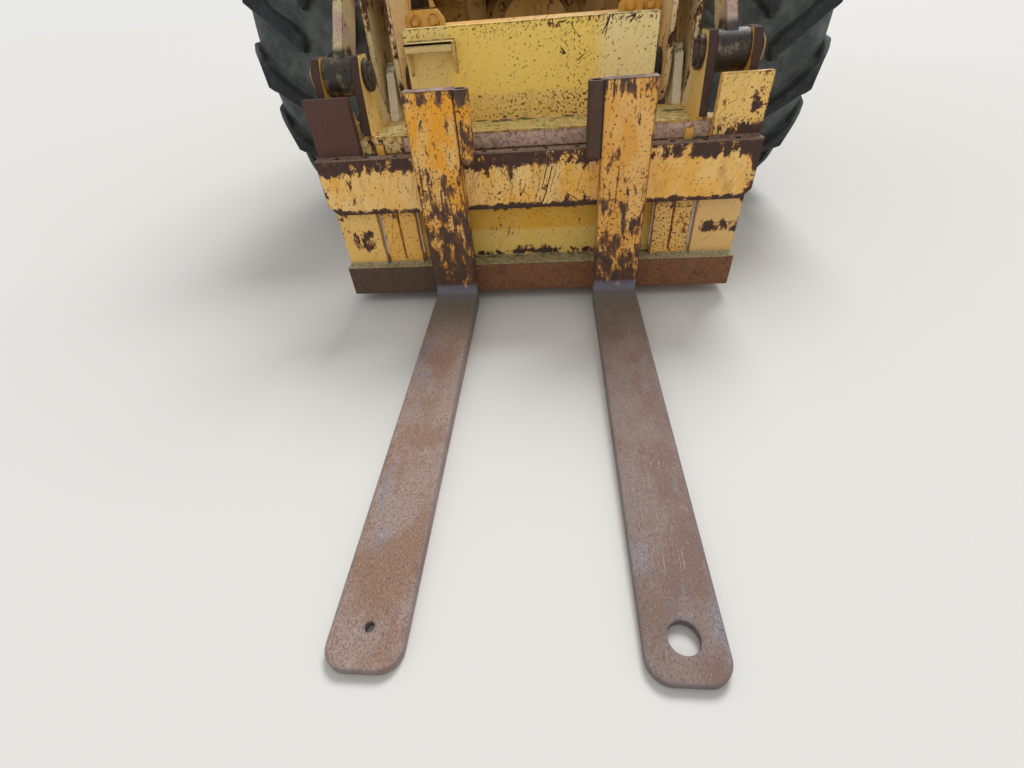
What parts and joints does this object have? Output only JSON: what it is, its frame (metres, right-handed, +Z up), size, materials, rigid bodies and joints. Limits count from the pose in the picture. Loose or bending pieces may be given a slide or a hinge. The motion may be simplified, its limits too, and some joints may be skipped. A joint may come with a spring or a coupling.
{
  "type": "articulated wheel loader with pallet forks",
  "caption": "Articulated wheel loader with parallel-lift arms and a fork carriage, hinged at mid-length, with working steering, lift, tilt, wheels and doors.",
  "frame": {"origin": "centre of the bounding box's footprint, on the ground under the tyres", "axes": "+X to the machine's left, +Y to its rear, +Z up; the fork tips point to -Y"},
  "size_m": [2.47, 7.66, 3.25],
  "materials": {
    "black_plastic": "moulded",
    "carriage_paint": "worn yellow enamel with rust",
    "exhaust_steel": "heat-stained",
    "fork_steel": "rusted forged steel",
    "frame_grey": "dark grey enamel",
    "glass": "clear tinted",
    "paint": "worn warm yellow enamel over steel",
    "pin_steel": "greased ground steel",
    "rim_paint": "worn yellow enamel",
    "rod_chrome": "polished",
    "seat_fabric": "woven",
    "tyre_rubber": "weathered rubber",
    "weight_iron": "dark painted casting"
  },
  "bodies": {
    "rear_frame": {"rear_frame": "frame_grey", "rear_axle": "frame_grey", "counterweight": "weight_iron", "engine_block": "frame_grey", "radiator": "frame_grey", "transmission": "frame_grey", "rear_drive_shaft": "frame_grey", "cab_shell": "paint", "cab_roof": "paint", "cab_glass": "glass", "seat": "seat_fabric", "steering_column": "black_plastic", "console": "black_plastic", "hood": "paint", "grille": "frame_grey", "exhaust": "exhaust_steel", "air_intake": "black_plastic", "rear_fenders": "frame_grey", "side_tanks": "frame_grey", "steps": "frame_grey", "lamps": "black_plastic", "mirrors": "black_plastic", "handrails": "frame_grey", "rear_lamps": "black_plastic"},
    "front_frame": {"front_frame": "paint", "front_axle": "paint", "front_drive_shaft": "frame_grey", "front_fenders": "frame_grey", "headlamps": "black_plastic"},
    "lift_arms": {"lift_arms": "paint"},
    "carriage_pins": {"carriage_pins": "pin_steel"},
    "fork_carriage": {"fork_carriage": "carriage_paint"},
    "fork_left": {"fork_left": "fork_steel"},
    "fork_right": {"fork_right": "fork_steel"},
    "crank_pins": {"crank_pins": "pin_steel"},
    "bellcranks": {"bellcranks": "paint"},
    "link_pins": {"link_pins": "pin_steel"},
    "tilt_links": {"tilt_links": "paint"},
    "lift_cylinder_barrels": {"lift_cylinder_barrels": "paint"},
    "lift_cylinder_rods": {"lift_cylinder_rods": "rod_chrome"},
    "tilt_cylinder_barrels": {"tilt_cylinder_barrels": "paint"},
    "tilt_cylinder_rods": {"tilt_cylinder_rods": "rod_chrome"},
    "steer_barrel_left": {"steer_cylinder_barrel_left": "paint"},
    "steer_barrel_right": {"steer_cylinder_barrel_right": "paint"},
    "steer_rod_left": {"steer_cylinder_rod_left": "rod_chrome"},
    "steer_rod_right": {"steer_cylinder_rod_right": "rod_chrome"},
    "door_left": {"cab_door_left": "paint", "door_glass_left": "glass"},
    "door_right": {"cab_door_right": "paint", "door_glass_right": "glass"},
    "hood_door_left": {"hood_door_left": "paint"},
    "hood_door_right": {"hood_door_right": "paint"},
    "wheel_front_left": {"tyre_front_left": "tyre_rubber", "rim_front_left": "rim_paint"},
    "wheel_front_right": {"tyre_front_right": "tyre_rubber", "rim_front_right": "rim_paint"},
    "wheel_rear_left": {"tyre_rear_left": "tyre_rubber", "rim_rear_left": "rim_paint"},
    "wheel_rear_right": {"tyre_rear_right": "tyre_rubber", "rim_rear_right": "rim_paint"}
  },
  "joints": [
    {"name": "steer", "type": "hinge", "parent": "rear_frame", "child": "front_frame", "pos_m": [0, 0.48, 0.87], "axis": [0, 0, 1], "range_deg": [-37, 37]},
    {"name": "lift", "type": "hinge", "parent": "front_frame", "child": "lift_arms", "pos_m": [0, -0.46, 1.7], "axis": [-1, 0, 0], "range_deg": [0, 72]},
    {"name": "carriage_level", "type": "hinge", "parent": "lift_arms", "child": "carriage_pins", "pos_m": [0, -2.1, 0.68], "axis": [-1, 0, 0], "range_deg": [-73, 1]},
    {"name": "tilt", "type": "hinge", "parent": "carriage_pins", "child": "fork_carriage", "pos_m": [0, -2.1, 0.68], "axis": [1, 0, 0], "range_deg": [-40, 45]},
    {"name": "fork_left_shift", "type": "slide", "parent": "fork_carriage", "child": "fork_left", "axis": [1, 0, 0], "range_m": [-0.14, 0.185]},
    {"name": "fork_right_shift", "type": "slide", "parent": "fork_carriage", "child": "fork_right", "axis": [-1, 0, 0], "range_m": [-0.14, 0.185]},
    {"name": "crank_level", "type": "hinge", "parent": "lift_arms", "child": "crank_pins", "pos_m": [0, -1.57832, 1.28651], "axis": [-1, 0, 0], "range_deg": [-73, 1]},
    {"name": "crank_turn", "type": "hinge", "parent": "crank_pins", "child": "bellcranks", "pos_m": [0, -1.57832, 1.28651], "axis": [1, 0, 0], "range_deg": [-41, 46]},
    {"name": "link_level", "type": "hinge", "parent": "bellcranks", "child": "link_pins", "pos_m": [0, -1.84832, 1.34851], "axis": [1, 0, 0], "range_deg": [-46, 41]},
    {"name": "link_turn", "type": "hinge", "parent": "link_pins", "child": "tilt_links", "pos_m": [0, -1.84832, 1.34851], "axis": [-1, 0, 0], "range_deg": [-1, 73]},
    {"name": "lift_barrel_turn", "type": "hinge", "parent": "front_frame", "child": "lift_cylinder_barrels", "pos_m": [0, -0.38, 0.665], "axis": [-1, 0, 0], "range_deg": [-1, 36.21]},
    {"name": "lift_rod_slide", "type": "slide", "parent": "lift_cylinder_barrels", "child": "lift_cylinder_rods", "axis": [0, -0.8699, 0.4932], "range_m": [-0.005, 0.80425]},
    {"name": "tilt_barrel_turn", "type": "hinge", "parent": "front_frame", "child": "tilt_cylinder_barrels", "pos_m": [0, -0.5467, 1.93449], "axis": [-1, 0, 0], "range_deg": [-1, 73]},
    {"name": "tilt_rod_slide", "type": "slide", "parent": "tilt_cylinder_barrels", "child": "tilt_cylinder_rods", "axis": [0, -0.9379, -0.3468], "range_m": [-0.16395, 0.18382]},
    {"name": "steer_barrel_turn_left", "type": "hinge", "parent": "rear_frame", "child": "steer_barrel_left", "pos_m": [0.49, 1.33, 0.7], "axis": [0, 0, 1], "range_deg": [-11.75, 11.75]},
    {"name": "steer_rod_slide_left", "type": "slide", "parent": "steer_barrel_left", "child": "steer_rod_left", "axis": [-0.0707, -0.9975, 0], "range_m": [-0.27469, 0.27469]},
    {"name": "door_left_open", "type": "hinge", "parent": "rear_frame", "child": "door_left", "pos_m": [0.706, 1.32, 2], "axis": [0, 0, 1], "range_deg": [0, 95]},
    {"name": "hood_door_left_open", "type": "hinge", "parent": "rear_frame", "child": "hood_door_left", "pos_m": [0.651, 2, 1.93], "axis": [0, -1, 0], "range_deg": [0, 80]},
    {"name": "steer_barrel_turn_right", "type": "hinge", "parent": "rear_frame", "child": "steer_barrel_right", "pos_m": [-0.49, 1.33, 0.7], "axis": [0, 0, 1], "range_deg": [-11.75, 11.75]},
    {"name": "steer_rod_slide_right", "type": "slide", "parent": "steer_barrel_right", "child": "steer_rod_right", "axis": [0.0707, -0.9975, 0], "range_m": [-0.27469, 0.27469]},
    {"name": "door_right_open", "type": "hinge", "parent": "rear_frame", "child": "door_right", "pos_m": [-0.706, 1.32, 2], "axis": [0, 0, -1], "range_deg": [0, 95]},
    {"name": "hood_door_right_open", "type": "hinge", "parent": "rear_frame", "child": "hood_door_right", "pos_m": [-0.651, 2, 1.93], "axis": [0, 1, 0], "range_deg": [0, 80]},
    {"name": "wheel_front_left_spin", "type": "hinge", "parent": "front_frame", "child": "wheel_front_left", "pos_m": [0.95, -1.02, 0.745], "axis": [1, 0, 0], "continuous": true},
    {"name": "wheel_rear_left_spin", "type": "hinge", "parent": "rear_frame", "child": "wheel_rear_left", "pos_m": [0.95, 1.98, 0.745], "axis": [1, 0, 0], "continuous": true},
    {"name": "wheel_front_right_spin", "type": "hinge", "parent": "front_frame", "child": "wheel_front_right", "pos_m": [-0.95, -1.02, 0.745], "axis": [1, 0, 0], "continuous": true},
    {"name": "wheel_rear_right_spin", "type": "hinge", "parent": "rear_frame", "child": "wheel_rear_right", "pos_m": [-0.95, 1.98, 0.745], "axis": [1, 0, 0], "continuous": true}
  ],
  "couplings": [
    {"joint": "carriage_level", "follows": "lift", "ratio": -1},
    {"joint": "crank_level", "follows": "lift", "ratio": -1},
    {"joint": "crank_turn", "follows": "tilt", "ratio": 1},
    {"joint": "link_level", "follows": "tilt", "ratio": -1},
    {"joint": "link_turn", "follows": "lift", "ratio": 1},
    {"joint": "lift_barrel_turn", "follows": "lift", "ratio": 0.48898},
    {"joint": "lift_rod_slide", "follows": "lift", "m_per_rad": 0.63602},
    {"joint": "tilt_barrel_turn", "follows": "lift", "ratio": 1},
    {"joint": "tilt_rod_slide", "follows": "tilt", "m_per_rad": 0.22768},
    {"joint": "steer_barrel_turn_left", "follows": "steer", "ratio": 0.29062},
    {"joint": "steer_rod_slide_left", "follows": "steer", "m_per_rad": -0.41762},
    {"joint": "steer_barrel_turn_right", "follows": "steer", "ratio": 0.29062},
    {"joint": "steer_rod_slide_right", "follows": "steer", "m_per_rad": 0.41762}
  ]
}
